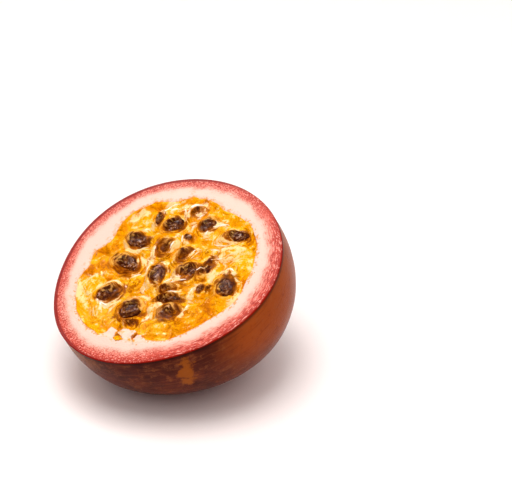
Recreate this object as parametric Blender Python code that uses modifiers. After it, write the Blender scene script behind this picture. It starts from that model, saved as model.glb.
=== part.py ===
"""Half of a ripe passion fruit, cut across: a thick rind round a heap of juicy seed sacs.

Metres, +Z up. The half leans as it lies, on a small flat spot whose middle is the origin.
Everything is modelled in the frame of the cut, where Z is the cut's normal and Z = 0 its plane.
"""

import math
import random

import bmesh
import bpy
from mathutils import Matrix, Vector

MM = 0.001

# How the half lies: how far the cut leans, towards which side, and where its middle is
CUT_TILT = math.radians(22.4)
CUT_TURN = math.radians(220.8)
CUT_CENTRE = Vector((-0.2, 1.8, 29.9)) * MM

# Outside of the fruit. A lobe is (count, height, direction of its first crest in degrees).
CUT_RADIUS = 30.0 * MM
CUT_LOBES = ((3, 0.55 * MM, -20), (4, 0.2 * MM, 40))
DEPTH = 31.0 * MM
SWELL = 0.148
LEAN = Vector((2.5, -0.2)) * MM
RIM_ROUNDING = 0.5 * MM

# Hollow of the rind, which the pulp fills
HOLLOW_RADIUS = 22.9 * MM
HOLLOW_LOBES = ((1, 0.4 * MM, -58), (2, 0.3 * MM, 30), (3, 0.6 * MM, -36), (4, 0.7 * MM, 14), (7, 0.6 * MM, 12))
WALL_AT_BOTTOM = 6.5 * MM
HOLLOW_SWELL = 0.10
CLEARANCE = 0.3 * MM

# Pulp: a wet bed a little below the cut, with a sac round every seed, whose top stands proud of it
BED_LEVEL = -1.4 * MM
PULP_DOME = 5.0 * MM
SAC_MARGIN = 1.9 * MM
SAC_HALF_HEIGHT = 2.8 * MM
SAC_LEVEL = -2.7 * MM
SEED_HALF_HEIGHT = 1.6 * MM
SEED_LEVEL = -0.9 * MM

# Seeds that show: distance from the middle in mm, direction and turn in degrees, length and width in mm
SEEDS = (
    (15.8, 124, -24, 6.4, 4.8),
    (15.1, 85, -2, 5.8, 4.6),
    (16.4, 52, 18, 6.0, 4.2),
    (19.0, 19, -14, 7.2, 4.6),
    (7.7, 93, -10, 5.2, 4.8),
    (12.4, 153, -38, 7.0, 5.0),
    (2.9, 203, 70, 7.0, 4.4),
    (5.8, 336, 12, 6.2, 4.6),
    (10.9, 346, 54, 7.4, 3.0),
    (18.2, 328, 80, 7.2, 5.2),
    (15.5, 194, 20, 7.8, 4.2),
    (14.1, 231, 12, 6.6, 5.6),
    (10.2, 273, -6, 6.2, 3.0),
    (14.4, 275, 6, 5.6, 4.6),
    (5.7, 38, 34, 5.0, 4.2),
)

# Sacs that show no seed stand between the seeds and the wall
EDGE_SACS = 14
EDGE_SAC_DISTANCE = 18.5 * MM
EDGE_SAC_SIZE = 4.6 * MM
EDGE_SAC_WIDTH_SHARE = 0.8
EDGE_SAC_SPREAD = 0.2
EDGE_SAC_SWAY = 0.25
EDGE_SAC_DRAW = 4

BOWL_SEGMENTS = 56
BOWL_RINGS = 24
SAC_SEGMENTS = 14
SAC_RINGS = 8
SEED_SEGMENTS = 8
SEED_RINGS = 5
CREASE_ANGLE = math.radians(45)
SNAP = 0.01 * MM

SHELL_COLOUR = (0.16, 0.035, 0.03)
PULP_COLOUR = (0.90, 0.36, 0.02)


def clear_scene():
    for thing in list(bpy.data.objects):
        bpy.data.objects.remove(thing, do_unlink=True)


def new_collection(name):
    collection = bpy.data.collections.new(name)
    bpy.context.scene.collection.children.link(collection)
    return collection


def new_material(name, colour, roughness):
    material = bpy.data.materials.new(name)
    material.use_nodes = True
    shader = material.node_tree.nodes["Principled BSDF"]
    shader.inputs["Base Color"].default_value = (*colour, 1.0)
    shader.inputs["Roughness"].default_value = roughness
    shader.inputs["Metallic"].default_value = 0.0
    return material


def new_object(bm, name, collection):
    """Turns the finished bmesh into an object of its own in the collection."""
    mesh = bpy.data.meshes.new(name)
    bm.to_mesh(mesh)
    bm.free()
    thing = bpy.data.objects.new(name, mesh)
    collection.objects.link(thing)
    return thing


def cut_frame():
    """The rotation and place of the cut: X stays as level as it can, Z is the cut's normal."""
    normal = Vector((
        math.sin(CUT_TILT) * math.cos(CUT_TURN),
        math.sin(CUT_TILT) * math.sin(CUT_TURN),
        math.cos(CUT_TILT),
    ))
    across = Vector((1, 0, 0)) - normal * normal.x
    across.normalize()
    rotation = Matrix((across, normal.cross(across), normal)).transposed()
    return Matrix.Translation(CUT_CENTRE) @ rotation.to_4x4()


def lobed_radius(mean, lobes, angle):
    return mean + sum(height * math.cos(count * (angle - math.radians(crest))) for count, height, crest in lobes)


def bowl(name, collection, mean, lobes, depth, swell, dome):
    """A sphere drawn out into the fruit's form: a bowl of the given depth below Z = 0 and a dome above it."""
    bm = bmesh.new()
    bmesh.ops.create_uvsphere(bm, u_segments=BOWL_SEGMENTS, v_segments=BOWL_RINGS, radius=1.0)
    for vertex in bm.verts:
        x, y, z = vertex.co
        share = max(0.0, -z)
        width = lobed_radius(mean, lobes, math.atan2(y, x)) * (1 + swell * share)
        vertex.co.x = x * width + LEAN.x * share
        vertex.co.y = y * width + LEAN.y * share
        vertex.co.z = z * (depth if z < 0 else dome)
    bowl_object = new_object(bm, name, collection)
    bowl_object.data.shade_smooth()
    return bowl_object


def slice_off_dome(thing):
    """Cuts the solid at Z = 0 and closes it with one flat face, which is shaded flat."""
    bm = bmesh.new()
    bm.from_mesh(thing.data)
    everything = bm.verts[:] + bm.edges[:] + bm.faces[:]
    bmesh.ops.bisect_plane(bm, geom=everything, dist=SNAP, plane_co=(0, 0, 0), plane_no=(0, 0, 1), clear_outer=True)
    for face in bmesh.ops.holes_fill(bm, edges=bm.edges)["faces"]:
        face.smooth = False
    bm.to_mesh(thing.data)
    bm.free()


def ellipsoid(name, collection, centre, half_sizes, turn, segments, rings):
    bm = bmesh.new()
    bmesh.ops.create_uvsphere(bm, u_segments=segments, v_segments=rings, radius=1.0)
    place = Matrix.Translation(centre) @ Matrix.Rotation(turn, 4, "Z") @ Matrix.Diagonal((*half_sizes, 1.0))
    bmesh.ops.transform(bm, matrix=place, verts=bm.verts)
    return new_object(bm, name, collection)


def boolean(thing, operation, cutter):
    modifier = thing.modifiers.new(f"{operation} {cutter.name}", "BOOLEAN")
    modifier.operation = operation
    modifier.solver = "EXACT"
    modifier.object = cutter


def fuse(thing, collection):
    """Joins the collection's objects to the thing with one union, then removes them."""
    modifier = thing.modifiers.new("fuse", "BOOLEAN")
    modifier.operation = "UNION"
    modifier.solver = "EXACT"
    modifier.operand_type = "COLLECTION"
    modifier.collection = collection
    bpy.context.view_layer.update()
    joined = bpy.data.meshes.new_from_object(thing.evaluated_get(bpy.context.evaluated_depsgraph_get()))
    thing.modifiers.clear()
    thing.data = joined
    for piece in list(collection.objects):
        bpy.data.objects.remove(piece, do_unlink=True)
    bpy.data.collections.remove(collection)


def make_cutter(thing):
    thing.hide_render = True
    thing.display_type = "WIRE"
    return thing


def finish(thing, material, frame):
    thing.data.materials.clear()
    thing.data.materials.append(material)
    thing.parent = frame


def add_floor_cutter(collection):
    """A block under the level that the fruit lies on, which trims the flat spot."""
    side = 4 * CUT_RADIUS
    bm = bmesh.new()
    place = Matrix.Translation((0, 0, -side / 2)) @ Matrix.Diagonal((side, side, side, 1.0))
    bmesh.ops.create_cube(bm, size=1.0, matrix=place)
    return make_cutter(new_object(bm, "ground", collection))


def add_shell(parts, cutters, frame):
    """The rind: purple skin outside, a red layer and white pith at the cut, hollow inside."""
    shell = bowl("shell", parts, CUT_RADIUS, CUT_LOBES, DEPTH, SWELL, DEPTH)
    slice_off_dome(shell)
    rounding = shell.modifiers.new("rim", "BEVEL")
    rounding.width = RIM_ROUNDING
    rounding.segments = 2
    rounding.limit_method = "ANGLE"
    rounding.angle_limit = CREASE_ANGLE
    hollow_depth = DEPTH - WALL_AT_BOTTOM
    hollow = bowl("hollow", cutters, HOLLOW_RADIUS, HOLLOW_LOBES, hollow_depth, HOLLOW_SWELL, DEPTH)
    hollow.parent = frame
    boolean(shell, "DIFFERENCE", make_cutter(hollow))
    boolean(shell, "DIFFERENCE", add_floor_cutter(cutters))
    finish(shell, new_material("skin", SHELL_COLOUR, 0.4), frame)


def add_seed(number, seed, lumps):
    """One seed and the sac round it."""
    distance, direction, turn, length, width = seed
    angle = math.radians(direction)
    spot = Vector((math.cos(angle), math.sin(angle))) * distance * MM
    turn = math.radians(turn)
    half_length = 0.5 * length * MM
    half_width = 0.5 * width * MM
    sac_sizes = (half_length + SAC_MARGIN, half_width + SAC_MARGIN, SAC_HALF_HEIGHT)
    sac_centre = (spot.x, spot.y, SAC_LEVEL)
    ellipsoid(f"sac_{number}", lumps, sac_centre, sac_sizes, turn, SAC_SEGMENTS, SAC_RINGS)
    seed_sizes = (half_length, half_width, SEED_HALF_HEIGHT)
    seed_centre = (spot.x, spot.y, SEED_LEVEL)
    ellipsoid(f"seed_{number}", lumps, seed_centre, seed_sizes, turn, SEED_SEGMENTS, SEED_RINGS)


def add_edge_sacs(lumps):
    draw = random.Random(EDGE_SAC_DRAW)
    for number in range(EDGE_SACS):
        angle = math.tau * (number + draw.uniform(-EDGE_SAC_SWAY, EDGE_SAC_SWAY)) / EDGE_SACS
        size = EDGE_SAC_SIZE * (1 + draw.uniform(-EDGE_SAC_SPREAD, EDGE_SAC_SPREAD))
        spot = Vector((math.cos(angle), math.sin(angle))) * EDGE_SAC_DISTANCE
        centre = (spot.x, spot.y, SAC_LEVEL)
        sizes = (size, size * EDGE_SAC_WIDTH_SHARE, SAC_HALF_HEIGHT * size / EDGE_SAC_SIZE)
        ellipsoid(f"edge_sac_{number}", lumps, centre, sizes, angle, SAC_SEGMENTS, SAC_RINGS)


def add_pulp(parts, cutters, frame):
    """The pulp: a bed with all sacs and seeds fused on, kept inside the hollow."""
    reach = HOLLOW_RADIUS + 2 * max(height for count, height, crest in HOLLOW_LOBES) + DEPTH * HOLLOW_SWELL
    bm = bmesh.new()
    place = Matrix.Translation((0, 0, BED_LEVEL - DEPTH / 2))
    bmesh.ops.create_cone(
        bm, cap_ends=True, segments=BOWL_SEGMENTS, radius1=reach, radius2=reach, depth=DEPTH, matrix=place
    )
    pulp = new_object(bm, "pulp", parts)
    lumps = new_collection("lumps")
    for number, seed in enumerate(SEEDS):
        add_seed(number, seed, lumps)
    add_edge_sacs(lumps)
    fuse(pulp, lumps)
    pulp.data.shade_smooth()
    pulp.data.set_sharp_from_angle(angle=CREASE_ANGLE)
    mould_depth = DEPTH - WALL_AT_BOTTOM - CLEARANCE
    mould = bowl("mould", cutters, HOLLOW_RADIUS - CLEARANCE, HOLLOW_LOBES, mould_depth, HOLLOW_SWELL, PULP_DOME)
    mould.parent = frame
    boolean(pulp, "INTERSECT", make_cutter(mould))
    finish(pulp, new_material("pulp", PULP_COLOUR, 0.2), frame)


def main():
    clear_scene()
    parts = new_collection("passion_fruit_half")
    cutters = new_collection("cutters")
    frame = bpy.data.objects.new("cut_frame", None)
    parts.objects.link(frame)
    frame.matrix_world = cut_frame()
    add_shell(parts, cutters, frame)
    add_pulp(parts, cutters, frame)


main()
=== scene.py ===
"""Looks of a passion fruit half: purple-brown skin, red and white rind, wet orange pulp with dark seeds.

The world is in metres. The fruit is worked out in millimetres in the frame of its cut, where Z is the
cut's normal.
"""

import collections
import functools
import itertools
import math
import random

import bpy
import numpy as np
from mathutils import Matrix, Vector


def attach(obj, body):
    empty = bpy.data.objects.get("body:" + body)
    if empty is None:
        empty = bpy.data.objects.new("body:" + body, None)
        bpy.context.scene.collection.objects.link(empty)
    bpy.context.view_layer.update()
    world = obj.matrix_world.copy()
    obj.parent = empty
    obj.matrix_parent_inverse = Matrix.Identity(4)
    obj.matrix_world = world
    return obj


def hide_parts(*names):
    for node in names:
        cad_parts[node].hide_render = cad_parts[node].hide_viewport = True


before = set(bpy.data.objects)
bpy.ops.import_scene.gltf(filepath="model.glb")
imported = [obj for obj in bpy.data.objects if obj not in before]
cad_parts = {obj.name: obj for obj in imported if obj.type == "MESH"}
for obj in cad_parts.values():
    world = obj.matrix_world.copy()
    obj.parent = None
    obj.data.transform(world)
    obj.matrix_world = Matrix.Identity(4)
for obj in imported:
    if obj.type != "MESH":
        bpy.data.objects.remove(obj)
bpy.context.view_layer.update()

MM = 0.001

# The fruit, as in the CAD. A lobe is (count, height in mm, direction of its first crest in degrees).
CUT_TILT = math.radians(22.4)
CUT_TURN = math.radians(220.8)
CUT_CENTRE = np.array((-0.2, 1.8, 29.9))
CUT_RADIUS = 29.9
CUT_LOBES = ((3, 0.55, -20), (4, 0.2, 40))
DEPTH = 31.0
SWELL = 0.148
LEAN = (2.5, -0.2)
RIM_ROUNDING = 0.5
HOLLOW_RADIUS = 22.9
HOLLOW_LOBES = ((1, 0.4, -58), (2, 0.3, 30), (3, 0.6, -36), (4, 0.7, 14), (7, 0.6, 12))
HOLLOW_DEPTH = DEPTH - 6.5
HOLLOW_SWELL = 0.10

# Where the torn edge of the pith leaves the hollow's form: direction, half width in degrees, and how far the
# pulp reaches out there in mm, less than 0 where the pith reaches in
EDGE_BAYS = (
    (12, 8, -0.7),
    (46, 5, -0.5),
    (68, 2, -0.5),
    (86, 6, -0.9),
    (98, 3, 0.5),
    (137, 8, -1.1),
    (152, 5, 0.8),
    (165, 7, -1.8),
    (228, 4, 1.0),
    (240, 6, 1.9),
    (252, 4, 1.3),
    (346, 9, 0.7),
)

# The camera: the photograph's size, where the middle of the cut is in it, and how it is seen
PICTURE = (512, 491)
CUT_PIXEL = (165.5, 267.0)
CAMERA_ELEVATION = math.radians(32)
CAMERA_LENS = 120.0
CAMERA_DISTANCE = 422.7
SENSOR_WIDTH = 36.0

# Seeds: distance from the middle in mm, direction and turn in degrees, length and width in mm, how deep
# it is sunk in its sac from 0 for bare to 1 for covered, the side from which the film climbs over it in
# degrees, and the tone of its sac from 0 for deep orange to 1 for cream
SEED_PLACES = (
    (14.4, 125, -32, 5.9, 4.5, 0.25, 130, 0.6),
    (14.6, 84, -3, 5.4, 4.0, 0.25, 120, 0.66),
    (15.9, 47, 24, 5.1, 3.9, 0.25, 100, 0.55),
    (18.9, 18, -9, 7.1, 3.9, 0.2, 150, 0.62),
    (7.3, 92, -12, 5.0, 4.6, 0.75, 40, 0.55),
    (12.1, 156, -42, 8.2, 4.8, 0.3, 120, 0.5),
    (2.9, 215, 80, 7.4, 4.2, 0.35, 190, 0.6),
    (6.2, 334, 14, 6.0, 4.4, 0.55, 100, 0.6),
    (10.9, 344, 58, 7.4, 2.9, 0.4, 200, 0.62),
    (18.3, 327, 86, 7.2, 5.0, 0.05, 200, 0.5),
    (15.5, 196, 17, 7.1, 4.4, 0.2, 110, 0.62),
    (14.1, 232, 8, 6.6, 5.6, 0.2, 60, 0.5),
    (10.4, 275, -9, 6.1, 2.4, 0.5, 90, 0.6),
    (14.8, 275, 0, 5.4, 4.2, 0.65, 100, 0.42),
    (5.7, 34, 36, 4.7, 3.6, 0.85, 90, 0.58),
    (7.6, 277, -11, 5.4, 2.6, 0.9, 90, 0.6),
    (17.9, 97, 59, 4.0, 1.8, 0.45, 150, 0.62),
    (18.8, 64, 14, 3.8, 2.4, 0.8, 90, 0.4),
    (17.9, 242, -16, 4.2, 1.8, 0.8, 90, 0.42),
    (13.1, 315, 50, 2.4, 1.9, 0.6, 90, 0.5),
    (14.8, 319, 30, 2.0, 1.7, 0.7, 90, 0.45),
    (10.5, 59, 31, 2.0, 2.0, 0.45, 90, 0.5),
)

# Sacs that show no seed: place, turn and size as for the seeds, then the tone
BARE_SACS = (
    (19.6, 182, 75, 8.0, 4.6, 0.68),
    (19.8, 208, 100, 8.5, 4.6, 0.66),
    (18.9, 222, 60, 7.0, 5.0, 0.58),
    (18.6, 262, 10, 9.0, 5.6, 0.48),
    (17.8, 291, 20, 8.5, 5.6, 0.42),
    (18.2, 308, 45, 6.5, 4.0, 0.34),
    (19.3, 346, 40, 8.0, 5.6, 0.72),
    (16.8, 4, 10, 7.0, 4.4, 0.72),
    (20.0, 41, -40, 6.5, 4.6, 0.55),
    (19.8, 72, 10, 8.0, 4.6, 0.42),
    (19.2, 88, 20, 5.4, 4.4, 0.75),
    (19.6, 113, 35, 8.5, 4.4, 0.62),
    (17.8, 138, 50, 6.5, 4.0, 0.55),
    (18.8, 160, 60, 7.0, 4.6, 0.48),
    (8.4, 200, 30, 6.0, 4.6, 0.5),
    (8.8, 128, -30, 5.2, 4.0, 0.6),
    (11.8, 12, 0, 6.0, 4.0, 0.6),
    (10.6, 300, 10, 6.5, 4.4, 0.66),
    (11.4, 253, 70, 5.0, 3.6, 0.66),
    (9.8, 60, 70, 4.6, 3.6, 0.58),
    (11.6, 104, 80, 4.6, 3.4, 0.55),
    (16.4, 296, 30, 4.6, 3.2, 0.6),
)

# Pale shreds in the pulp, partly painted highlights: start, end, height of the bend and half width, all in mm
# on the cut
SHREDS_AND_HIGHLIGHTS = (
    (-10.5, 18.8, -4.4, 21.3, 0.9, 1.4),
    (-7.0, 14.3, -4.6, 15.0, 0.5, 0.8),
    (-11.8, 11.7, -4.9, 8.5, -1.9, 0.8),
    (-7.9, 5.2, -3.7, 0.4, 0.9, 1.4),
    (-9.5, 0.2, -6.9, -0.1, -0.5, 1.1),
    (-23.0, -4.6, -18.0, 4.1, 2.3, 1.6),
    (-18.7, -1.7, -11.2, -3.3, 1.8, 0.8),
    (-18.2, -5.9, -12.0, -7.7, -1.4, 1.1),
    (-8.3, -8.3, -3.3, -8.9, 0.6, 0.8),
    (-4.7, -13.1, -0.1, -12.0, 0.5, 1.1),
    (-5.6, -15.8, -2.9, -13.3, -0.1, 0.8),
    (-1.8, 18.1, 2.9, 21.8, 1.6, 1.1),
    (0.3, 18.2, 3.3, 19.5, 0.8, 0.8),
    (4.7, 14.9, 4.0, 21.5, -0.5, 0.8),
    (4.7, 16.3, 10.8, 18.1, 2.4, 0.7),
    (7.7, 14.8, 10.8, 16.4, 0.5, 1.1),
    (5.4, 10.5, 8.3, 12.9, 0.8, 1.4),
    (9.4, 8.1, 12.0, 10.1, 0.0, 1.1),
    (11.7, 10.9, 16.5, 10.6, 0.5, 0.8),
    (11.8, 7.1, 18.1, 4.0, -0.9, 1.1),
    (11.6, 2.4, 20.7, 1.0, 0.2, 0.7),
    (11.2, -0.8, 19.9, -1.5, 0.5, 1.9),
    (12.3, -5.8, 18.2, -8.9, 2.6, 0.8),
    (6.7, 1.0, 9.2, 4.7, 0.4, 0.8),
    (8.2, -4.0, 11.5, -1.6, -0.6, 0.8),
    (0.9, 4.2, 3.9, 8.5, 0.4, 0.8),
    (1.0, 8.3, 2.7, 11.3, -0.4, 0.8),
    (-0.6, -4.7, 6.1, -4.8, 0.5, 1.4),
    (0.6, -9.3, 4.7, -9.4, -0.2, 1.1),
    (-4.6, -4.4, -3.9, 3.1, 0.8, 0.7),
    (4.3, 11.2, 5.5, 6.0, -0.5, 0.8),
    (-3.6, 4.4, -2.5, 9.2, 0.7, 0.8),
    (5.5, -12.2, 9.0, -7.2, 0.4, 0.8),
    (4.2, -17.2, 6.1, -12.9, -0.2, 0.8),
    (15.8, -15.4, 18.5, -11.9, -0.7, 0.7),
    (-6.6, -5.5, -3.5, -4.0, 0.5, 1.1),
)

# Outlines of the torn flaps of pith that lie over the near left edge of the pulp, in mm on the cut
FLAPS = (
    ((-15.2, -17.8), (-14.3, -17.1), (-13.2, -16.2), (-12.1, -17.4), (-11.7, -17.9), (-12.4, -18.7),
     (-12.7, -19.4), (-12.2, -20.6), (-11.8, -21.4), (-12.0, -22.5), (-16.0, -20.3), (-16.6, -18.1)),
    ((-11.4, -18.5), (-11.1, -17.8), (-10.1, -17.4), (-8.7, -18.2), (-7.1, -18.9), (-6.7, -19.5),
     (-7.3, -19.8), (-7.7, -20.4), (-8.1, -20.5), (-8.0, -21.3), (-7.6, -21.8), (-7.5, -23.4),
     (-10.1, -22.5), (-10.4, -21.3), (-10.0, -20.9), (-10.5, -19.9)),
    ((-7.6, -21.8), (-7.0, -21.0), (-6.3, -20.5), (-5.3, -21.0), (-4.6, -22.1), (-4.0, -22.8),
     (-4.1, -23.9), (-7.3, -23.2)),
)

# Torn flaps: the spacing of their points and the height of their hidden underside
FLAP_STEP = 0.1
FLAP_BOTTOM = -1.5

# A bead of juice that stands up between two of the flaps
JUICE_BEAD = (-11.7, -19.7)
JUICE_BEAD_SIZE = 1.1

# Rind: points and rings from the bottom of the skin to the bottom of the hollow, the rounding of the pith's
# inner edge, and how far in the red layer ends, all lengths in mm
RIND_AROUND = 480
RIND_SKIN_RINGS = 96
RIND_RIM_RINGS = 6
RIND_CUT_RINGS = 46
RIND_LIP_RINGS = 4
RIND_WALL_RINGS = 26
LIP_ROUNDING = 0.35
RED_DEPTH = 6.0
# What the distance inwards has come to where the rounded rim turns level
RIM_INWARD = 0.4
# The circle that the grain of the rind is laid round
GRAIN_RADIUS = 30
# An orange-brown patch on the front of the skin, in the world, in mm
ORANGE_PATCH_SPOT = (5.9, -24.2, 17.6)

# Pulp: points along a side of its square grid, rings down the wall, and the gap to the rind
PULP_GRID = 270
PULP_WALL_RINGS = 8
PULP_WALL_GAP = 0.3
PULP_LOWEST = -2.4
HIDDEN_TONE = 0.4
# How far a sac reaches past its seed, how far its dome drops out there, and how sharply domes meet
SAC_MARGIN = 1.9
SAC_DROP = 1.0
SMOOTHING = 5.0
FIBRE_LENGTH = 0.9
FILM_HEIGHT = 1.0

# Seeds, of which those sunk deeper than COVERED are only a brown shade in the pulp
SEED_AROUND = 56
SEED_RINGS = 36
SEED_THICKNESS = 2.6
SEED_HEIGHT = 0.62
SEED_PITS = 46
COVERED = 0.6

# Strands, none of which may lie further out than STRAND_REACH
STRAND_SIDES = 7
STRAND_STEPS = 26
STRAND_REACH = 21.5

# Surroundings: half the side of the floor in m, and where the lights look in mm
FLOOR_REACH = 4.0
LIGHT_TARGET = (0, 0, 25)


# Numbers and colours


def rgb(code):
    """The linear colour of a six-digit web colour."""
    values = [int(code[i:i + 2], 16) / 255 for i in (0, 2, 4)]
    return tuple(v / 12.92 if v <= 0.04045 else ((v + 0.055) / 1.055) ** 2.4 for v in values)


def smoothstep(low, high, value):
    t = np.clip((value - low) / (high - low), 0, 1)
    return t * t * (3 - 2 * t)


def mix(a, b, t):
    return a + (b - a) * t


def facing(angle, direction, low, high):
    """From 0 to 1 as the cosine of the turn away from a direction in degrees goes from low to high."""
    return smoothstep(low, high, np.cos(angle - math.radians(direction)))


def wrapped(angle, radius, third):
    """Coordinates round a circle, with a third number, so that noise read there has no seam."""
    third = np.broadcast_to(third, angle.shape)
    return np.column_stack((radius * np.cos(angle), radius * np.sin(angle), third))


def flat_places(x, y):
    return np.column_stack((x, y, np.zeros(len(x))))


def line_span(x0, y0, x1, y1):
    """Length and direction of a line, in radians."""
    return math.hypot(x1 - x0, y1 - y0), math.atan2(y1 - y0, x1 - x0)


# Noise


def lattice_noise(places, draw):
    """Smooth noise from -1 to 1 at an array of places, with one lattice point for each whole number."""
    cell = np.floor(places).astype(np.int64)
    part = places - cell
    part = part * part * (3 - 2 * part)
    total = np.zeros(len(places))
    for corner in itertools.product((0, 1), repeat=3):
        spot = cell + np.array(corner)
        mixed = (spot[:, 0] * 73856093) ^ (spot[:, 1] * 19349663) ^ (spot[:, 2] * 83492791) ^ (draw * 6542989)
        mixed = (mixed ^ (mixed >> 13)) * 1274126177
        value = ((mixed ^ (mixed >> 16)) & 0xFFFF) / 32767.5 - 1
        total += np.prod(np.where(corner, part, 1 - part), axis=1) * value
    return total


def fractal_noise(places, size, draw, layers=3):
    """Noise whose largest features are size across, in the unit of the places."""
    total = np.zeros(len(places))
    share = 1.0
    for layer in range(layers):
        total += share * lattice_noise(places / size * 2 ** layer + 17.3 * layer, draw + layer)
        share *= 0.5
    return total / (2 - 2 * share)


def ridge_noise(places, size, draw):
    """Noise with thin crests at 1."""
    return 1 - np.abs(fractal_noise(places, size, draw)) ** 0.7 * 1.2


# Frame of the cut


def cut_rotation():
    normal = np.array((
        math.sin(CUT_TILT) * math.cos(CUT_TURN),
        math.sin(CUT_TILT) * math.sin(CUT_TURN),
        math.cos(CUT_TILT),
    ))
    across = np.array((1.0, 0.0, 0.0)) - normal * normal[0]
    across /= np.linalg.norm(across)
    return np.column_stack((across, np.cross(normal, across), normal))


ROTATION = cut_rotation()


def to_world(points):
    """From millimetres in the frame of the cut to metres in the world."""
    return (points @ ROTATION.T + CUT_CENTRE) * MM


def lobed(mean, lobes, angle):
    """Radius of a roundish outline with a few low lobes."""
    waves = (height * np.cos(count * (angle - math.radians(crest))) for count, height, crest in lobes)
    return mean + sum(waves)


def hollow_edge(angle):
    """Radius of the torn inner edge of the pith: smooth on the near side, ragged on the far one."""
    raggedness = 0.25 + 0.65 * facing(angle, 125, -0.3, 0.8)
    torn = raggedness * fractal_noise(wrapped(angle, 10, 0), 1.6, 31, layers=4)
    for direction, half_width, reach in EDGE_BAYS:
        away = (np.degrees(angle) - direction + 180) % 360 - 180
        torn = torn + reach * np.exp(-(away / half_width) ** 2)
    return lobed(HOLLOW_RADIUS, HOLLOW_LOBES, angle) + torn


# Meshes


def add_object(name, data):
    item = bpy.data.objects.new(name, data)
    bpy.context.scene.collection.objects.link(item)
    return item


def add_mesh(name, points, faces, material, attributes=None):
    """A smooth mesh piece from points in the frame of the cut, with numbers or vectors on its points."""
    mesh = bpy.data.meshes.new(name)
    mesh.from_pydata(to_world(points).tolist(), [], faces)
    mesh.shade_smooth()
    mesh.materials.append(material)
    for key, values in (attributes or {}).items():
        kind, field = ("FLOAT", "value") if values.ndim == 1 else ("FLOAT_VECTOR", "vector")
        layer = mesh.attributes.new(key, kind, "POINT")
        layer.data.foreach_set(field, values.astype(np.float32).ravel())
    return add_object(name, mesh)


def ring_faces(rings, count):
    """Faces round rings of points laid out one after another, closed to the two poles that follow them."""
    pairs = [(i, (i + 1) % count) for i in range(count)]
    poles = rings * count
    faces = []
    for ring in range(0, poles - count, count):
        faces += [(ring + i, ring + j, ring + count + j, ring + count + i) for i, j in pairs]
    for i, j in pairs:
        faces.append((poles, j, i))
        faces.append((poles + 1, poles - count + i, poles - count + j))
    return faces


def grid_quads(index):
    """Quads between the points of a rectangle of point numbers."""
    corners = index[:-1, :-1], index[:-1, 1:], index[1:, 1:], index[1:, :-1]
    return np.column_stack([corner.ravel() for corner in corners])


def joined(parts):
    """Several meshes as one. Each is its points, its faces and arrays with a row for every point."""
    faces = []
    total = 0
    for points, part_faces, *_ in parts:
        faces += [tuple(i + total for i in face) for face in part_faces]
        total += len(points)
    points, _, *cues = zip(*parts)
    return np.vstack(points), faces, *(np.concatenate(cue) for cue in cues)


# Rind


def skin_radius(angle, theta):
    """Radius of the skin, theta below the cut: 0 at the cut and a quarter turn at the bottom."""
    return lobed(CUT_RADIUS, CUT_LOBES, angle) * math.cos(theta) * (1 + SWELL * math.sin(theta))


def rind_sections(angle):
    """Rings from the bottom of the skin over the rim and the cut to the bottom of the hollow.

    Each is (radius, height, share of the lean, signed distance inwards from the skin's edge at the cut).
    """
    low = math.asin(RIM_ROUNDING / DEPTH)
    for theta in np.linspace(math.pi / 2, low, RIND_SKIN_RINGS + 1)[1:]:
        share = math.sin(theta)
        yield skin_radius(angle, theta), -DEPTH * share, share, -DEPTH * (theta - low) - RIM_ROUNDING
    wall = skin_radius(angle, low) - RIM_ROUNDING
    for turn in np.linspace(0, math.pi / 2, RIND_RIM_RINGS + 1)[1:]:
        radius = wall + RIM_ROUNDING * math.cos(turn)
        inward = RIM_ROUNDING * (turn / (math.pi / 2) - 1) + RIM_INWARD
        yield radius, RIM_ROUNDING * (math.sin(turn) - 1), 0, inward
    edge = hollow_edge(angle) + LIP_ROUNDING
    for step in np.linspace(0, 1, RIND_CUT_RINGS + 1)[1:]:
        radius = mix(wall, edge, step)
        yield radius, 0.0, 0, wall - radius + RIM_INWARD
    for turn in np.linspace(0, math.pi / 2, RIND_LIP_RINGS + 1)[1:]:
        radius = edge - LIP_ROUNDING * math.sin(turn)
        yield radius, LIP_ROUNDING * (math.cos(turn) - 1), 0, wall - radius + RIM_INWARD
    start = math.asin(LIP_ROUNDING / HOLLOW_DEPTH)
    for theta in np.linspace(start, math.pi / 2, RIND_WALL_RINGS + 1)[1:-1]:
        share = math.sin(theta)
        radius = (edge - LIP_ROUNDING) * math.cos(theta) * (1 + HOLLOW_SWELL * share)
        yield radius, -HOLLOW_DEPTH * share, share, wall - edge + 1.0 + HOLLOW_DEPTH * theta


def rind_cues(around, inward, edge_gap):
    """What the material reads: distances, the grain, how far in the red layer starts and how wide its dark
    edge line is, and where its grain is combed and the pith is stained."""
    deepness = 0.05 - 0.3 * facing(around, 55, 0.0, 1.0) - 0.35 * facing(around, 185, 0.2, 0.9)
    return {
        "inward": inward,
        "edge_gap": edge_gap,
        "grain": wrapped(around, GRAIN_RADIUS, inward),
        "deepness": deepness * smoothstep(0.3, 0.9, inward),
        "line": 0.8 * facing(around, 140, -0.4, 0.6),
        "combed": facing(around, 325, 0.2, 0.9),
        "stained": facing(around, 125, -0.2, 0.7),
    }


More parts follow.
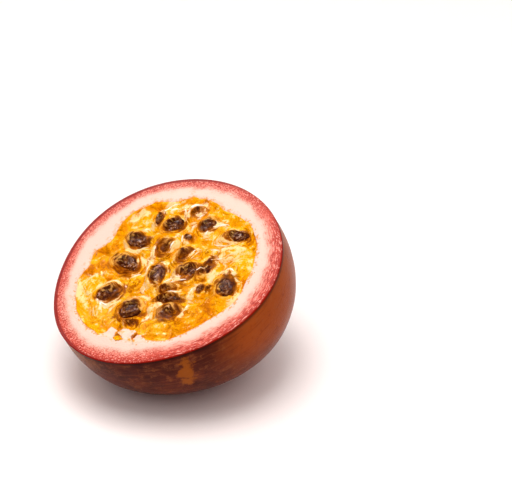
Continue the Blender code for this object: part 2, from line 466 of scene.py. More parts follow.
def make_rind():
    angle = np.linspace(0, math.tau, RIND_AROUND, endpoint=False)
    rows = []
    inward = []
    for radius, height, share, distance in rind_sections(angle):
        x = radius * np.cos(angle) + LEAN[0] * share
        y = radius * np.sin(angle) + LEAN[1] * share
        rows.append(np.column_stack((x, y, np.full(RIND_AROUND, height))))
        inward.append(np.full(RIND_AROUND, distance))
    points = np.vstack(rows)
    inward = np.concatenate(inward)
    edge_gap = np.hypot(points[:, 0], points[:, 1]) - np.tile(hollow_edge(angle), len(rows))
    on_cut = (points[:, 2] > -0.05) & (inward > 0)
    points[:, 2] += np.where(on_cut, cut_relief(points, inward, edge_gap), 0)
    points = np.where((inward < -RIM_ROUNDING)[:, None], skin_relief(points), points)
    poles = ((*LEAN, -DEPTH), (*LEAN, -HOLLOW_DEPTH))
    points = rest_on_floor(np.vstack((points, poles)))
    cues = rind_cues(
        np.concatenate((np.tile(angle, len(rows)), (0.0, 0.0))),
        np.concatenate((inward, (-60.0, 60.0))),
        np.concatenate((edge_gap, (0.0, -10.0))),
    )
    piece = add_mesh("rind", points, ring_faces(len(rows), RIND_AROUND), rind_material(), cues)
    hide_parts("shell")
    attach(piece, "root")


def cut_relief(points, inward, edge_gap):
    """Height of the cut face in mm: a slightly sunken, grainy red layer and soft swells in the pith."""
    grainy = 1 - smoothstep(2.4, 4.0, inward)
    grain = lattice_noise(points / 0.7, 5) * 0.03 + lattice_noise(points / 0.35, 6) * 0.02
    swells = fractal_noise(points, 6.0, 8) * 0.07
    lip = -0.12 * (1 - smoothstep(0.0, 1.2, edge_gap))
    return -0.10 * grainy + grain * grainy + swells + lip - 0.05


def skin_relief(points):
    """The skin with shallow dents and fine unevenness, always inside the smooth form."""
    dents = fractal_noise(points, 14.0, 11, layers=2)
    fine = fractal_noise(points, 3.0, 13, layers=2)
    centre = np.array((LEAN[0] * 0.5, LEAN[1] * 0.5, -DEPTH * 0.3))
    away = points - centre
    length = np.linalg.norm(away, axis=1, keepdims=True)
    sink = (0.08 * (dents - 1) + 0.03 * (fine - 1))[:, None]
    return points + away / length * sink


def rest_on_floor(points):
    """Flattens what would lie below the floor into the flat spot."""
    world = points @ ROTATION.T + CUT_CENTRE
    world[:, 2] = np.maximum(world[:, 2], 0.0)
    return (world - CUT_CENTRE) @ ROTATION


# Seeds and sacs in their places

Seed = collections.namedtuple("Seed", "x y turn length width sunk film tone")
Sac = collections.namedtuple("Sac", "x y turn half_length half_width top tone")


def placed(kind, distance, direction, turn, *rest):
    """A seed or sac with its place on the cut in mm and its turn in radians."""
    angle = math.radians(direction)
    return kind(distance * math.cos(angle), distance * math.sin(angle), math.radians(turn), *rest)


def sac_list():
    """The sacs round the seeds and those that show no seed."""
    draw = random.Random(12)
    sacs = []
    for seed in SEEDS:
        margin = SAC_MARGIN * min(1.0, seed.length / 5)
        top = mix(-0.35, 0.15, seed.sunk) + draw.uniform(-0.1, 0.1)
        half_size = (seed.length / 2 + margin, seed.width / 2 + margin)
        sacs.append(Sac(*seed[:3], *half_size, top, seed.tone))
    for distance, direction, turn, length, width, tone in BARE_SACS:
        top = draw.uniform(-0.35, 0.05)
        sacs.append(placed(Sac, distance, direction, turn, length / 2, width / 2, top, tone))
    return sacs


SEEDS = [placed(Seed, *row) for row in SEED_PLACES]
SACS = sac_list()


def offsets(x, y, origin_x, origin_y, turn):
    """Distances along and across a direction from a point, in mm."""
    dx = x - origin_x
    dy = y - origin_y
    return dx * math.cos(turn) + dy * math.sin(turn), -dx * math.sin(turn) + dy * math.cos(turn)


def seed_offsets(x, y, seed):
    """Offsets from the middle of a seed, as shares of its half length and half width."""
    p, q = offsets(x, y, *seed[:3])
    return p / (seed.length / 2), q / (seed.width / 2)


# Pulp


def recess(angle):
    """How far the pulp lies below the cut at the wall in mm: most on the near right side."""
    return 0.12 + 1.15 * facing(angle, 315, 0.2, 0.95)


def sac_fibres(which, along, across):
    """Coordinates that follow the fibres round the given sacs, for streaky noise."""
    row = np.arange(len(which))
    p = along[which, row]
    q = across[which, row]
    slim = np.array([sac.half_length / sac.half_width for sac in SACS])[which]
    return wrapped(np.arctan2(q * slim, p), FIBRE_LENGTH, np.hypot(p / slim, q) / 0.7 + which * 7.3)


def sac_cues(x, y):
    """Height in mm, nearness to a crease, tone and fibre coordinates of the sacs at places on the cut."""
    along, across = (np.array(values) for values in zip(*(offsets(x, y, *sac[:3]) for sac in SACS)))
    half_length, half_width, top, tone = np.array([sac[3:] for sac in SACS]).T[:, :, None]
    heights = top - SAC_DROP * ((along / half_length) ** 2 + (across / half_width) ** 2)
    first, second = np.argsort(-heights, axis=0)[:2]
    row = np.arange(len(x))
    highest = heights[first, row]
    lead = highest - heights[second, row]
    weights = np.exp(SMOOTHING * (heights - highest))
    total = weights.sum(axis=0)
    return {
        "height": np.maximum(np.log(total) / SMOOTHING + highest, PULP_LOWEST),
        "crease": np.exp(-lead / 0.1),
        "tone": (weights * tone).sum(axis=0) / total,
        "first": 1 / (1 + np.exp(-lead / 0.06)),
        "flow": sac_fibres(first, along, across),
        "flow_next": sac_fibres(second, along, across),
    }


def shred_and_highlight_cue(x, y):
    """How strongly the pale shreds and painted highlights show at places on the cut, from 0 to 1."""
    flat = flat_places(x, y)
    x = x + 0.35 * fractal_noise(flat, 1.4, 91)
    y = y + 0.35 * fractal_noise(flat, 1.4, 95)
    total = np.zeros(len(x))
    for x0, y0, x1, y1, bend, half_width in SHREDS_AND_HIGHLIGHTS:
        length, turn = line_span(x0, y0, x1, y1)
        p, q = offsets(x, y, x0, y0, turn)
        t = 2 * p / length - 1
        off = (q - bend * (1 - t ** 2)) / half_width
        total = np.maximum(total, np.exp(-off ** 2) * (1 - smoothstep(0.6, 1.2, np.abs(t))))
    return total


def seed_cues(x, y, ribs):
    """How brown the pulp looks from a seed under it, and how far film climbs over a seed there in mm."""
    bend = 0.4 * fractal_noise(flat_places(x, y), 2.0, 61)
    brown = np.zeros(len(x))
    climb = np.zeros(len(x))
    for seed in SEEDS:
        p, q = seed_offsets(x, y, seed)
        away = np.sqrt(p ** 2 + q ** 2)
        side = np.cos(np.arctan2(y - seed.y, x - seed.x) - math.radians(seed.film))
        clear = min(1.0, seed.length / 5)
        fade_end = 1.15 + (0.5 - 0.45 * side) * clear + 0.4 * smoothstep(0.3, 0.6, seed.sunk)
        dark = mix(1.0, 0.74, smoothstep(0.45, 0.75, seed.sunk))
        brown = np.maximum(brown, dark * (1 - smoothstep(0.3, fade_end, away + bend * clear)))
        reach = smoothstep(-0.2, 0.6, side * np.minimum(away, 1.0) + bend + 0.5 * (ribs - 0.6))
        climb = np.maximum(climb, FILM_HEIGHT * reach * (1 - smoothstep(0.9, 1.7, away)) * clear)
    return brown, climb


def pulp_surface(x, y):
    """Height in mm and colour cues of the pulp at places on the cut."""
    flat = flat_places(x, y)
    cues = sac_cues(x + 1.1 * fractal_noise(flat, 2.8, 41), y + 1.1 * fractal_noise(flat, 2.8, 47))
    ribs = mix(ridge_noise(cues["flow_next"], 1.0, 53), ridge_noise(cues["flow"], 1.0, 53), cues["first"])
    brown, climb = seed_cues(x, y, ribs)
    # Pale shreds of tissue, partly painted highlights
    wisps = shred_and_highlight_cue(x, y)
    lumps = fractal_noise(flat, 2.2, 57, layers=4)
    inner = 1 - smoothstep(6, 14, np.hypot(x - 1, y + 2))
    murk = smoothstep(-0.1, 0.5, fractal_noise(flat, 4.5, 111)) * inner
    bead = np.exp(-(np.hypot(x - JUICE_BEAD[0], y - JUICE_BEAD[1]) / JUICE_BEAD_SIZE) ** 4)
    brown = np.maximum(brown, 0.34 * murk) * (1 - bead)
    height = cues["height"] + (0.08 + 0.24 * brown) * (ribs - 0.6) + 0.40 * lumps + climb + 0.2 * wisps
    angle = np.arctan2(y, x)
    share = np.hypot(x, y) / hollow_edge(angle)
    height = mix(height, -recess(angle) + 0.15 * ribs + 0.1 * lumps, smoothstep(0.9, 1.0, share))
    height = mix(height, 0.05 + 0.2 * lumps, 0.9 * bead)
    tone = mix(cues["tone"], 0.55, bead)
    cues.update(height=height, tone=tone, brown=brown, film=climb / FILM_HEIGHT, wisps=wisps, flat=flat)
    return cues


def pulp_tone(cues):
    """Tone of the juice with blotches, and with creases that have painted shade in places and pale membrane
    lines in others.
    """
    mottle = fractal_noise(cues["flat"], 4.0, 73)
    pale_creases = smoothstep(-0.1, 0.5, fractal_noise(cues["flat"], 5.0, 67))
    # Painted shade in the creases where they are dark; pale lines of membrane where they are pale
    return cues["tone"] + 0.25 * mottle + cues["crease"] * mix(-0.35, 0.15, pale_creases)


def disc_grid(count):
    """A square grid of points spread over a unit disc, as shares of the radius and angles."""
    line = np.linspace(-1, 1, count)
    a, b = (values.ravel() for values in np.meshgrid(line, line))
    wide = np.abs(a) > np.abs(b)
    radius = np.where(wide, a, b)
    with np.errstate(divide="ignore", invalid="ignore"):
        angle = np.where(wide, math.pi / 4 * b / a, math.pi / 2 - math.pi / 4 * a / b)
    angle = np.nan_to_num(angle)
    return np.abs(radius), np.where(radius < 0, angle + math.pi, angle)


def grid_border(index):
    """The point numbers along the border of a square of them, in order round it."""
    return np.concatenate((index[0, :-1], index[:-1, -1], index[-1, :0:-1], index[:0:-1, 0]))


def pulp_wall(border):
    """Rings of points from the border of the pulp down the hollow, and the point at the bottom."""
    rings = []
    for step in range(1, PULP_WALL_RINGS + 1):
        theta = math.pi / 2 * step / (PULP_WALL_RINGS + 1)
        down = math.sin(theta)
        scale = math.cos(theta) * (1 + HOLLOW_SWELL * down) * (1 - PULP_WALL_GAP / HOLLOW_RADIUS)
        rings.append(np.column_stack((
            border[:, 0] * scale + LEAN[0] * down,
            border[:, 1] * scale + LEAN[1] * down,
            border[:, 2] * (1 - down) - (HOLLOW_DEPTH - PULP_WALL_GAP) * down,
        )))
    return np.vstack((*rings, (*LEAN, PULP_WALL_GAP - HOLLOW_DEPTH)))


def pulp_faces(index, border):
    """Quads of the surface and the wall, and triangles round the point at the bottom."""
    faces = grid_quads(index).tolist()
    count = len(border)
    below = index.size + np.arange(PULP_WALL_RINGS * count).reshape(PULP_WALL_RINGS, count)
    rings = np.vstack((border, below))
    following = np.roll(rings, -1, axis=1)
    for ring in range(PULP_WALL_RINGS):
        around = following[ring], rings[ring], rings[ring + 1], following[ring + 1]
        faces += np.column_stack(around).tolist()
    bottom = index.size + below.size
    return faces + [(j, i, bottom) for i, j in zip(rings[-1].tolist(), following[-1].tolist())]


def make_pulp():
    share, angle = disc_grid(PULP_GRID)
    radius = share * (hollow_edge(angle) + 0.15)
    x = radius * np.cos(angle)
    y = radius * np.sin(angle)
    cues = pulp_surface(x, y)
    cues["tone"] = pulp_tone(cues)
    points = np.column_stack((x, y, cues["height"]))
    index = np.arange(len(points)).reshape(PULP_GRID, PULP_GRID)
    border = grid_border(index)
    wall = pulp_wall(points[border])
    attributes = {}
    for key in ("tone", "brown", "film", "wisps", "first", "flow", "flow_next"):
        hidden = np.full((len(wall), *cues[key].shape[1:]), HIDDEN_TONE if key == "tone" else 0.0)
        attributes[key] = np.concatenate((cues[key], hidden))
    points = np.vstack((points, wall))
    piece = add_mesh("pulp_mass", points, pulp_faces(index, border), pulp_material(), attributes)
    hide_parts("pulp")
    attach(piece, "root")


# Seeds


def unit_seed(draw):
    """A rounded, lumpy, pitted seed about 2 long, as points and faces, with the depth of its pits."""
    turn = np.linspace(0, math.tau, SEED_AROUND, endpoint=False)
    rows = []
    for theta in np.linspace(0, math.pi, SEED_RINGS + 2)[1:-1]:
        girth = math.sin(theta) ** 0.85 * (1 - 0.10 * math.cos(theta))
        along = np.full(SEED_AROUND, math.cos(theta))
        rows.append(np.column_stack((along, girth * np.cos(turn), girth * np.sin(turn))))
    points = np.vstack((*rows, (1, 0, 0), (-1, 0, 0)))
    pits = np.array([[draw.gauss(0, 1) for _ in range(3)] for _ in range(SEED_PITS)])
    pits /= np.linalg.norm(pits, axis=1, keepdims=True)
    away = np.linalg.norm(points[:, None, :] - pits[None, :, :], axis=2)
    pit = np.exp(-(away.min(axis=1) / 0.15) ** 2)
    lumps = fractal_noise(points + draw.uniform(0, 50), 0.9, 83, layers=4)
    points = points * (1 - 0.07 * pit + 0.22 * lumps)[:, None]
    return points, ring_faces(SEED_RINGS, SEED_AROUND), pit


def seed_level(seed):
    """A seed's thickness and the height of its middle, in mm."""
    thickness = min(SEED_THICKNESS, 0.75 * seed.width)
    surface = sac_cues(np.array((seed.x,)), np.array((seed.y,)))["height"][0]
    above = mix(SEED_HEIGHT, 0.0, seed.sunk) * thickness / SEED_THICKNESS
    return thickness, surface + above - thickness / 2


def seed_form(seed, draw):
    """A seed in its sac: points, faces, depth of the pits, and coordinates that follow the film on it."""
    points, faces, pit = unit_seed(draw)
    ring = np.hypot(points[:, 0], points[:, 1]) * seed.width / 2
    flow = wrapped(np.arctan2(points[:, 1], points[:, 0]), 0.8, ring / 0.5 + draw.uniform(0, 50))
    thickness, level = seed_level(seed)
    points = points * np.array((seed.length / 2, seed.width / 2, thickness / 2))
    roll = Matrix.Rotation(draw.uniform(-0.35, 0.35), 3, "X")
    pitch = Matrix.Rotation(draw.uniform(-0.2, 0.2), 3, "Y")
    spin = Matrix.Rotation(seed.turn, 3, "Z") @ pitch @ roll
    return points @ np.array(spin).T + np.array((seed.x, seed.y, level)), faces, pit, flow


def make_seeds():
    draw = random.Random(5)
    points, faces, pit, flow = joined([seed_form(seed, draw) for seed in SEEDS if seed.sunk <= COVERED])
    piece = add_mesh("seeds", points, faces, seed_material(), {"pit": pit, "flow": flow})
    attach(piece, "root")


# Strands


def tube(path, radii):
    """A flat tube of points along a path, with its faces."""
    heading = np.gradient(path, axis=0)
    heading /= np.linalg.norm(heading, axis=1, keepdims=True) + 1e-9
    side = np.cross(heading, (0.0, 0.0, 1.0))
    side /= np.linalg.norm(side, axis=1, keepdims=True) + 1e-9
    lift = np.cross(side, heading)
    turn = np.linspace(0, math.tau, STRAND_SIDES, endpoint=False)
    rows = [
        path[i] + radii[i] * (np.cos(turn)[:, None] * side[i] * 1.5 + np.sin(turn)[:, None] * lift[i] * 0.7)
        for i in range(len(path))
    ]
    return np.vstack((*rows, path[:1], path[-1:])), ring_faces(len(path), STRAND_SIDES)


def seed_tops(x, y):
    """Height of the seeds' upper side at places on the cut, or far down where there is none."""
    top = np.full(len(x), -9.0)
    for seed in SEEDS:
        p, q = seed_offsets(x, y, seed)
        inside = 1 - p ** 2 - q ** 2
        thickness, level = seed_level(seed)
        dome = level + thickness / 2 * np.sqrt(np.maximum(inside, 0))
        top = np.where(inside > 0, np.maximum(top, dome), top)
    return top


def strand(x, y, thickness):
    """A strand that lies on the pulp and the seeds along the given places and is thinner at its ends."""
    height = np.maximum(pulp_surface(x, y)["height"], seed_tops(x, y))
    height = np.convolve(np.pad(height, 2, mode="edge"), np.ones(5) / 5, mode="valid")
    along = np.linspace(0, 1, len(x))
    return tube(np.column_stack((x, y, height)), thickness * (0.25 + 0.75 * np.sin(math.pi * along) ** 0.6))


def make_strands():
    """Pale threads along the shreds in the pulp, partly thin tissue and partly painted highlights."""
    draw = random.Random(9)
    strands = []
    for x0, y0, x1, y1, bend, half_width in SHREDS_AND_HIGHLIGHTS:
        length, turn = line_span(x0, y0, x1, y1)
        for _ in range(draw.choice((1, 1, 2))):
            reach = draw.uniform(0.3, 0.8)
            t = draw.uniform(reach - 1, 1 - reach) + reach * np.linspace(-1, 1, STRAND_STEPS)
            p = length * (t + 1) / 2
            q = bend * (1 - t ** 2) + draw.uniform(-0.7, 0.7) * half_width
            q = q + 0.05 * np.sin(4 * t + draw.uniform(0, 6))
            x = x0 + p * math.cos(turn) - q * math.sin(turn)
            y = y0 + p * math.sin(turn) + q * math.cos(turn)
            thickness = draw.uniform(0.09, 0.18)
            if np.hypot(x, y).max() <= STRAND_REACH:
                strands.append(strand(x, y, thickness))
    points, faces = joined(strands)
    piece = add_mesh("membranes_and_highlights", points, faces, membrane_and_highlight_material())
    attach(piece, "root")


# Torn flaps


def inside_distance(x, y, outline):
    """Distance of places to an outline, above 0 inside it."""
    nearest = np.full(len(x), 99.0)
    inside = np.zeros(len(x), dtype=bool)
    for (x0, y0), (x1, y1) in zip(outline, outline[1:] + outline[:1]):
        dx = x1 - x0
        dy = y1 - y0
        t = np.clip(((x - x0) * dx + (y - y0) * dy) / (dx * dx + dy * dy), 0, 1)
        nearest = np.minimum(nearest, np.hypot(x - x0 - t * dx, y - y0 - t * dy))
        inside ^= ((y0 > y) != (y1 > y)) & (x < dx * (y - y0) / (dy + 1e-12) + x0)
    return np.where(inside, nearest, -nearest)


def flap(outline):
    """A ragged closed lump of pith with the given outline and a soft, crumpled top, and how soaked it is."""
    corners = np.array(outline)
    low = corners.min(axis=0) - 0.5
    high = corners.max(axis=0) + 0.5
    columns, rows = np.ceil((high - low) / FLAP_STEP).astype(int)
    grid = np.meshgrid(low[0] + FLAP_STEP * np.arange(columns), low[1] + FLAP_STEP * np.arange(rows))
    x, y = (values.ravel() for values in grid)
    flat = flat_places(x, y)
    depth = inside_distance(x, y, outline) + 0.15 + 0.4 * fractal_noise(flat, 0.9, 101, layers=4)
    crumple = 0.22 * fractal_noise(flat, 1.3, 107, layers=4)
    gap = hollow_edge(np.arctan2(y, x)) - np.hypot(x, y)
    free = smoothstep(0.2, 1.4, gap)
    top = mix(-0.16, 0.02, smoothstep(-1.4, -0.3, gap)) + (0.14 + crumple) * free
    top -= 0.35 * free * np.exp(-np.maximum(depth, 0) / 0.12)
    quads = grid_quads(np.arange(len(x)).reshape(rows, columns))
    quads = [tuple(quad) for quad in quads[(depth > 0)[quads].all(axis=1)].tolist()]
    edges = {(quad[i], quad[(i + 1) % 4]) for quad in quads for i in range(4)}
    under = len(x)
    faces = quads + [tuple(i + under for i in reversed(quad)) for quad in quads]
    faces += [(b, a, a + under, b + under) for a, b in sorted(edges) if (b, a) not in edges]
    points = np.vstack((np.column_stack((x, y, top)), flat + (0, 0, FLAP_BOTTOM)))
    used = sorted({i for face in faces for i in face})
    renumber = {old: new for new, old in enumerate(used)}
    soaked = np.concatenate(((1 - smoothstep(0.05, 0.4, depth)) * free, np.ones(len(x))))
    return points[used], [tuple(renumber[i] for i in face) for face in faces], soaked[used]


def make_crumbs():
    """Torn flaps of pith over the edge of the pulp."""
    points, faces, soaked = joined([flap(outline) for outline in FLAPS])
    piece = add_mesh("crumbs", points, faces, crumb_material(), {"soaked": soaked})
    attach(piece, "root")


# Materials


def add_node(tree, kind, inputs=None, **settings):
    """A node with its settings and inputs; an input that is a socket is linked."""
    node = tree.nodes.new(kind)
    for key, value in settings.items():
        setattr(node, key, value)
    for key, value in (inputs or {}).items():
        if isinstance(value, bpy.types.NodeSocket):
            tree.links.new(value, node.inputs[key])
        else:
            node.inputs[key].default_value = value
    return node


def attribute(tree, name, output="Fac"):
    return add_node(tree, "ShaderNodeAttribute", attribute_name=name).outputs[output]


# The functions from here to bump work in the tree of the first socket that they are given


def math_node(operation, first, second):
    inputs = {0: first, 1: second}
    return add_node(first.id_data, "ShaderNodeMath", inputs, operation=operation).outputs[0]


def plus(*values):
    return functools.reduce(functools.partial(math_node, "ADD"), values)


def times(*values):
    return functools.reduce(functools.partial(math_node, "MULTIPLY"), values)


def vector_math(operation, first, second=(0, 0, 0), output=0):
    inputs = {0: first, 1: second}
    return add_node(first.id_data, "ShaderNodeVectorMath", inputs, operation=operation).outputs[output]


def noise(vector, size, detail=3.0, roughness=0.55):
    inputs = {"Vector": vector, "Scale": 1 / size, "Detail": detail, "Roughness": roughness}
    return add_node(vector.id_data, "ShaderNodeTexNoise", inputs).outputs[0]


def spread(value, low, high, to_low=0.0, to_high=1.0):
    """Takes a value smoothly from one range to another."""
    inputs = {"Value": value, "From Min": low, "From Max": high, "To Min": to_low, "To Max": to_high}
    settings = {"interpolation_type": "SMOOTHSTEP"}
    return add_node(value.id_data, "ShaderNodeMapRange", inputs, **settings).outputs[0]


def sway(value, reach):
    """Noise as an offset to either side."""
    return spread(value, 0.25, 0.75, -reach, reach)


def blend(factor, first, second):
    """Mixes two colours, each a socket, a web colour or four numbers."""
    first, second = ((*rgb(colour), 1.0) if isinstance(colour, str) else colour for colour in (first, second))
    inputs = {0: factor, 6: first, 7: second}
    return add_node(factor.id_data, "ShaderNodeMix", inputs, data_type="RGBA").outputs[2]


def ramp(factor, stops):
    """A colour ramp through (place, web colour) stops."""
    node = add_node(factor.id_data, "ShaderNodeValToRGB", {"Fac": factor})
    elements = node.color_ramp.elements
    while len(elements) < len(stops):
        elements.new(0.5)
    for element, (spot, code) in zip(elements, stops):
        element.position = spot
        element.color = (*rgb(code), 1.0)
    return node.outputs["Color"]


def bump(height, distance):
    inputs = {"Height": height, "Distance": distance * MM, "Strength": 1.0}
    return add_node(height.id_data, "ShaderNodeBump", inputs).outputs[0]


def place(tree):
    """The place on the object in millimetres."""
    coords = add_node(tree, "ShaderNodeTexCoord").outputs["Object"]
    return vector_math("MULTIPLY", coords, (1 / MM, 1 / MM, 1 / MM))


def shader_input(shader, key):
    """The shader's socket for a keyword such as coat_ior."""
    return shader.inputs[key.replace("_", " ").title().replace("Ior", "IOR")]


def new_material(name, **constants):
    """A Principled material; returns it with its tree and shader."""
    material = bpy.data.materials.new(name)
    material.use_nodes = True
    shader = material.node_tree.nodes["Principled BSDF"]
    for key, value in constants.items():
        shader_input(shader, key).default_value = value
    return material, material.node_tree, shader


def connect(shader, **links):
    """Links sockets to the shader's inputs."""
    for key, value in links.items():
        shader.id_data.links.new(value, shader_input(shader, key))


def skin_colour(tree, spot, wrap):
    """Purple-brown skin with streaks and flecks, tan and painted sheen on the left, a painted orange
    reflection on the upper right, an orange-brown patch in front.
    """
    x, y, z = add_node(tree, "ShaderNodeSeparateXYZ", {0: spot}).outputs
    mottle = noise(spot, 2.2, 6.0, 0.75)
    streak = noise(wrap, 1.0, 5.0, 0.65)
    patches = noise(spot, 9.0, 4.0, 0.6)
    base = ramp(patches, ((0.3, "350c05"), (0.5, "4c1a0a"), (0.72, "602410")))
    # Painted reflection: the upper right of the skin turns orange-brown as if warm light bounced onto it
    warm = times(spread(x, 9.0, 22.0, 0.0, 0.8), spread(y, 24.0, 6.0), spread(z, 12.0, 25.0, 0.3, 1.0))
    base = blend(warm, base, "a44a0a")
    spotty = spread(mottle, 0.36, 0.58, 0.4, 1.0)
    # Tan on the left: partly the skin's own mottling, partly painted sheen along that edge
    tan = times(spread(x, -14.0, -24.0, 0.0, 0.75), spread(y, 20.0, 4.0), spotty)
    base = blend(tan, base, "a0602c")
    # The streaks and flecks fade where the painted reflection lies
    plain = spread(warm, 0.0, 0.8, 1.0, 0.5)
    for marks, low, high, strength, colour in (
        (streak, 0.5, 0.68, 0.45, "7a401a"),
        (streak, 0.48, 0.32, 0.5, "2c0602"),
        (mottle, 0.52, 0.66, 0.5, "8a4c26"),
        (mottle, 0.46, 0.34, 0.5, "3c0a03"),
    ):
        base = blend(times(plain, spread(marks, low, high, 0.0, strength)), base, colour)
    base = blend(spread(attribute(tree, "inward"), -1.6, -0.7, 0.0, 0.7), base, "220402")
    # An orange-brown patch on the front of the skin
    away = vector_math("SUBTRACT", spot, ORANGE_PATCH_SPOT)
    away = vector_math("LENGTH", vector_math("MULTIPLY", away, (1.65, 0.8, 0.72)), output="Value")
    away = plus(away, sway(noise(spot, 2.0, 5.0, 0.65), 2.0))
    return blend(spread(away, 4.4, 2.4, 0.0, 0.9), base, "8e4808")


def cut_colour(tree, spot, cells, strands):
    """Stippled red layer that fades into the pale pith, from the distance to the skin's edge."""
    drift = sway(noise(cells, 4.0, 3.0, 0.6), 0.6)
    depth = math_node("SUBTRACT", attribute(tree, "inward"), attribute(tree, "deepness"))
    share = math_node("DIVIDE", plus(depth, drift), RED_DEPTH)
    base = ramp(share, (
        (0.1, "ac2c1a"), (0.2, "c23e2a"), (0.3, "cc5442"), (0.38, "d26453"), (0.46, "d77f6d"),
        (0.54, "d99c8a"), (0.62, "dab2a1"), (0.72, "dabcac"), (0.88, "dabfb0"),
    ))
    dots = noise(cells, 0.4, 2.0, 0.8)
    dashes = noise(strands, 0.45, 2.0, 0.8)
    stipple = spread(attribute(tree, "combed"), 0.0, 1.0, dots, dashes)
    red = spread(share, 0.78, 0.44)
    deep = blend(spread(share, 0.38, 0.56), "9c241a", "c85a46")
    base = blend(times(red, spread(stipple, 0.51, 0.39)), base, deep)
    base = blend(times(red, spread(stipple, 0.54, 0.64, 0.0, 0.8)), base, "e8a494")
    edge_gap = attribute(tree, "edge_gap")
    stain = plus(edge_gap, spread(noise(spot, 1.0, 5.0, 0.7), 0.3, 0.7, -1.2, 1.0))
    base = blend(spread(stain, 0.4, 0.0, 0.0, 0.85), base, "d9882c")
    soak = plus(edge_gap, spread(noise(spot, 1.6, 5.0, 0.75), 0.3, 0.7, -3.2, 2.4))
    soak = times(spread(soak, 0.5, -0.3, 0.0, 0.6), attribute(tree, "stained"))
    return blend(soak, base, "e0a078")


def rind_material():
    """One material for the whole rind: skin, dark edge line, red layer and pith, by the distance inwards."""
    material, tree, shader = new_material(
        "rind", specular_ior_level=0.015, coat_roughness=0.2, coat_ior=1.18,
        subsurface_radius=(1.0, 0.5, 0.35), subsurface_scale=0.0006)
    spot = place(tree)
    inward = attribute(tree, "inward")
    grain = attribute(tree, "grain", "Vector")
    stretches = (0.16, 0.16, 1.6), (0.8, 0.8, 1.3), (0.28, 0.28, 1.5)
    wrap, cells, strands = (vector_math("MULTIPLY", grain, stretch) for stretch in stretches)
    past_line = math_node("SUBTRACT", inward, attribute(tree, "line"))
    flesh = blend(spread(past_line, 0.02, 0.24), "860e04", cut_colour(tree, spot, cells, strands))
    relief = plus(noise(cells, 0.5), times(noise(wrap, 0.8), 0.5))
    connect(
        shader,
        base_color=blend(spread(inward, -0.5, -0.1), skin_colour(tree, spot, wrap), flesh),
        roughness=spread(inward, -0.2, 0.3, 0.36, 0.5),
        subsurface_weight=spread(inward, 0.3, 3.0, 0.0, 0.2),
        coat_weight=spread(inward, -0.4, -1.4, 0.0, 0.33),
        normal=bump(relief, 0.08),
    )
    return material


def pulp_material():
    """Wet juice from ochre to pale gold in streaky sacs, brown over the seeds, with cream shreds and streaks
    that are partly painted highlights.
    """
    material, tree, shader = new_material(
        "pulp", roughness=0.4, specular_ior_level=0.0, coat_weight=0.09, coat_roughness=0.04,
        subsurface_weight=0.1, subsurface_radius=(1.0, 0.42, 0.08), subsurface_scale=0.0004)
    spot = place(tree)
    flow = attribute(tree, "flow", "Vector")
    wisps = attribute(tree, "wisps")
    other = noise(attribute(tree, "flow_next", "Vector"), 1.0, 4.0, 0.6)
    fibre = spread(attribute(tree, "first"), 0.0, 1.0, other, noise(flow, 1.0, 4.0, 0.6))
    blots = noise(spot, 3.0, 4.0, 0.6)
    fine = noise(spot, 0.42, 3.0, 0.7)
    level = plus(attribute(tree, "tone"), sway(fibre, 0.26), sway(blots, 0.36), sway(fine, 0.2))
    juice = ramp(level, (
        (0.05, "bc6400"), (0.18, "d47c00"), (0.32, "e08b00"), (0.46, "e99800"), (0.62, "f0a600"),
        (0.76, "f0af08"), (0.88, "e8b846"), (1.0, "ecd094"),
    ))
    # Cream shreds and fibres: partly pale tissue, partly painted highlights
    shred_and_highlight = plus(wisps, spread(fibre, 0.32, 0.66, -0.9, 0.35), spread(fine, 0.3, 0.7, -0.25, 0.25))
    juice = blend(spread(shred_and_highlight, 0.2, 0.7, 0.0, 0.95), juice, "f0d296")
    under = plus(attribute(tree, "brown"), spread(fibre, 0.3, 0.7, 0.24, -0.34))
    under = plus(under, spread(fine, 0.3, 0.7, 0.08, -0.08), times(wisps, -0.3))
    shade = ramp(under, (
        (0.1, "cc7800"), (0.3, "b26200"), (0.5, "8e4600"), (0.7, "662e00"), (0.95, "401600"),
    ))
    juice = blend(spread(under, 0.03, 0.36), juice, shade)
    # Tan streaks on the film over the seeds: partly its fibres, partly painted highlights
    streaks = times(spread(fibre, 0.47, 0.62), attribute(tree, "film"), 0.85)
    relief = plus(times(noise(spot, 0.8), 0.6), times(fibre, 1.2))
    wet = plus(noise(spot, 1.1, 0.0), noise(flow, 1.0, 1.0, 0.4))
    connect(
        shader,
        base_color=blend(streaks, juice, "dca650"),
        normal=bump(relief, 0.35),
        coat_normal=bump(wet, 0.8),
    )
    return material


def seed_material():
    """Dark pitted seeds with painted shade in their pits, and pale flecks that follow their outline, partly
    shreds of film and partly painted glints.
    """
    material, tree, shader = new_material(
        "seed", roughness=0.4, specular_ior_level=0.0, coat_weight=0.06, coat_roughness=0.15)
    spot = place(tree)
    arcs = noise(attribute(tree, "flow", "Vector"), 1.0, 3.0, 0.6)
    grain = plus(noise(spot, 0.7, 5.0, 0.8), spread(arcs, 0.3, 0.7, -0.1, 0.1))
    base = ramp(grain, ((0.36, "220500"), (0.45, "461400"), (0.54, "683002"), (0.64, "965e22")))
    # Painted shade: the seed's colour darkens in its pits
    base = blend(times(attribute(tree, "pit"), 0.6), base, "2a0a04")
    # Pale flecks: partly shreds of film, partly painted glints
    flecks = spread(plus(arcs, noise(spot, 0.5, 3.0, 0.7)), 1.05, 1.25)
    patches = spread(noise(spot, 2.4), 0.42, 0.58)
    wet = plus(noise(spot, 0.9, 1.0), times(arcs, 0.6))
    connect(
        shader,
        base_color=blend(times(flecks, patches, 0.8), base, "d0a48c"),
        normal=bump(plus(noise(spot, 0.45, 4.0, 0.7), arcs), 0.5),
        coat_normal=bump(wet, 0.4),
    )
    return material


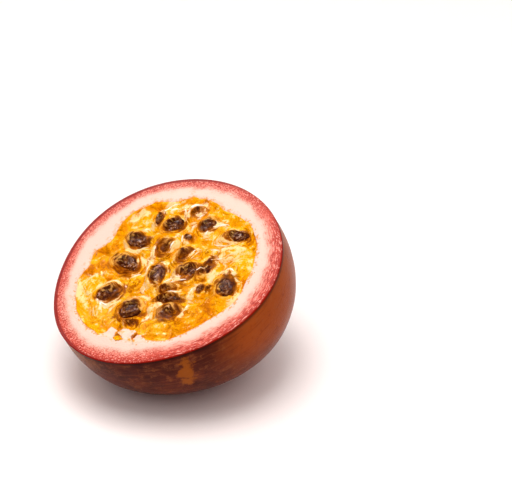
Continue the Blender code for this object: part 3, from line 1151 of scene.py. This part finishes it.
def membrane_and_highlight_material():
    """Wet membranous threads, golden in places and nearly white in others, the near white partly painted
    highlight.
    """
    material, tree, shader = new_material(
        "membrane_and_highlight", roughness=0.3, specular_ior_level=0.0, coat_weight=0.05, coat_roughness=0.04,
        subsurface_weight=0.3, subsurface_radius=(1.0, 0.6, 0.3), subsurface_scale=0.0005)
    spots = noise(place(tree), 1.5)
    # The nearly white end of the ramp is partly painted highlight
    colour = ramp(spots, ((0.33, "d89c40"), (0.43, "ecc890"), (0.53, "f8ecd8")))
    connect(shader, base_color=colour)
    return material


def crumb_material():
    """Damp white pith with orange juice in places."""
    material, tree, shader = new_material(
        "crumb", roughness=0.5, specular_ior_level=0.015,
        subsurface_weight=0.2, subsurface_radius=(1.0, 0.6, 0.4), subsurface_scale=0.0005)
    spot = place(tree)
    pith = ramp(noise(spot, 1.6, 4.0), ((0.33, "de942c"), (0.38, "e0b68c"), (0.46, "e2c6b4")))
    soaked = plus(attribute(tree, "soaked"), spread(noise(spot, 0.6), 0.3, 0.7, -0.5, 0.3))
    connect(shader, base_color=blend(spread(soaked, 0.1, 0.7), pith, "dc8c1c"))
    return material


# Surroundings


def make_camera():
    """The photograph's view: the middle of the cut falls on its pixel, with no shift."""
    right = np.array((1.0, 0.0, 0.0))
    up = np.array((0.0, math.sin(CAMERA_ELEVATION), math.cos(CAMERA_ELEVATION)))
    back = np.array((0.0, -math.cos(CAMERA_ELEVATION), math.sin(CAMERA_ELEVATION)))
    focal = CAMERA_LENS / SENSOR_WIDTH * PICTURE[0]
    off_x = (CUT_PIXEL[0] - PICTURE[0] / 2) / focal * CAMERA_DISTANCE
    off_y = (CUT_PIXEL[1] - PICTURE[1] / 2) / focal * CAMERA_DISTANCE
    data = bpy.data.cameras.new("camera")
    data.lens = CAMERA_LENS
    data.sensor_width = SENSOR_WIDTH
    data.clip_start = 0.01
    camera = add_object("camera", data)
    camera.location = Vector(CUT_CENTRE - right * off_x + up * off_y + back * CAMERA_DISTANCE) * MM
    camera.rotation_euler = (math.pi / 2 - CAMERA_ELEVATION, 0, 0)
    bpy.context.scene.camera = camera


def make_floor():
    """A white floor that reaches past the picture on all sides."""
    mesh = bpy.data.meshes.new("floor")
    corners = ((-1, -1), (1, -1), (1, 1), (-1, 1))
    mesh.from_pydata([(x * FLOOR_REACH, y * FLOOR_REACH, 0) for x, y in corners], [], [(0, 1, 2, 3)])
    material, *_ = new_material(
        "floor", base_color=(0.98, 0.915, 0.905, 1.0), roughness=0.9, specular_ior_level=0.0)
    mesh.materials.append(material)
    floor = add_object("floor", mesh)


def make_light(name, place_mm, size_mm, watts, colour, gloss_only=False):
    """A square soft light that looks at the fruit; one for gloss only makes highlights without shadows."""
    data = bpy.data.lights.new(name, "AREA")
    data.size = size_mm * MM
    data.energy = watts
    data.color = colour
    light = add_object(name, data)
    light.location = Vector(place_mm) * MM
    light.rotation_euler = (Vector(LIGHT_TARGET) - Vector(place_mm)).to_track_quat("-Z", "Y").to_euler()
    light.visible_diffuse = not gloss_only


def make_world():
    """A warm white sky that turns darker and redder towards the horizon."""
    world = bpy.data.worlds.new("studio")
    world.use_nodes = True
    tree = world.node_tree
    heading = add_node(tree, "ShaderNodeTexCoord").outputs["Generated"]
    up = add_node(tree, "ShaderNodeSeparateXYZ", {0: heading}).outputs[2]
    background = tree.nodes["Background"]
    colour = blend(spread(up, 0.1, 0.6), (1.0, 0.32, 0.3, 1.0), (1.0, 0.975, 0.955, 1.0))
    tree.links.new(colour, background.inputs["Color"])
    tree.links.new(spread(up, 0.35, 0.95, 0.38, 1.25), background.inputs["Strength"])
    bpy.context.scene.world = world


def make_surroundings():
    make_floor()
    make_world()
    make_light("key", (-30, -50, 430), 240, 1.2, (1.0, 0.99, 0.97))
    make_light("gleam", (-140, 240, 330), 45, 11.0, (1.0, 0.93, 0.87), gloss_only=True)
    view = bpy.context.scene.view_settings
    view.view_transform = "Standard"
    view.look = "None"


make_camera()
make_surroundings()
make_rind()
make_pulp()
make_seeds()
make_strands()
make_crumbs()
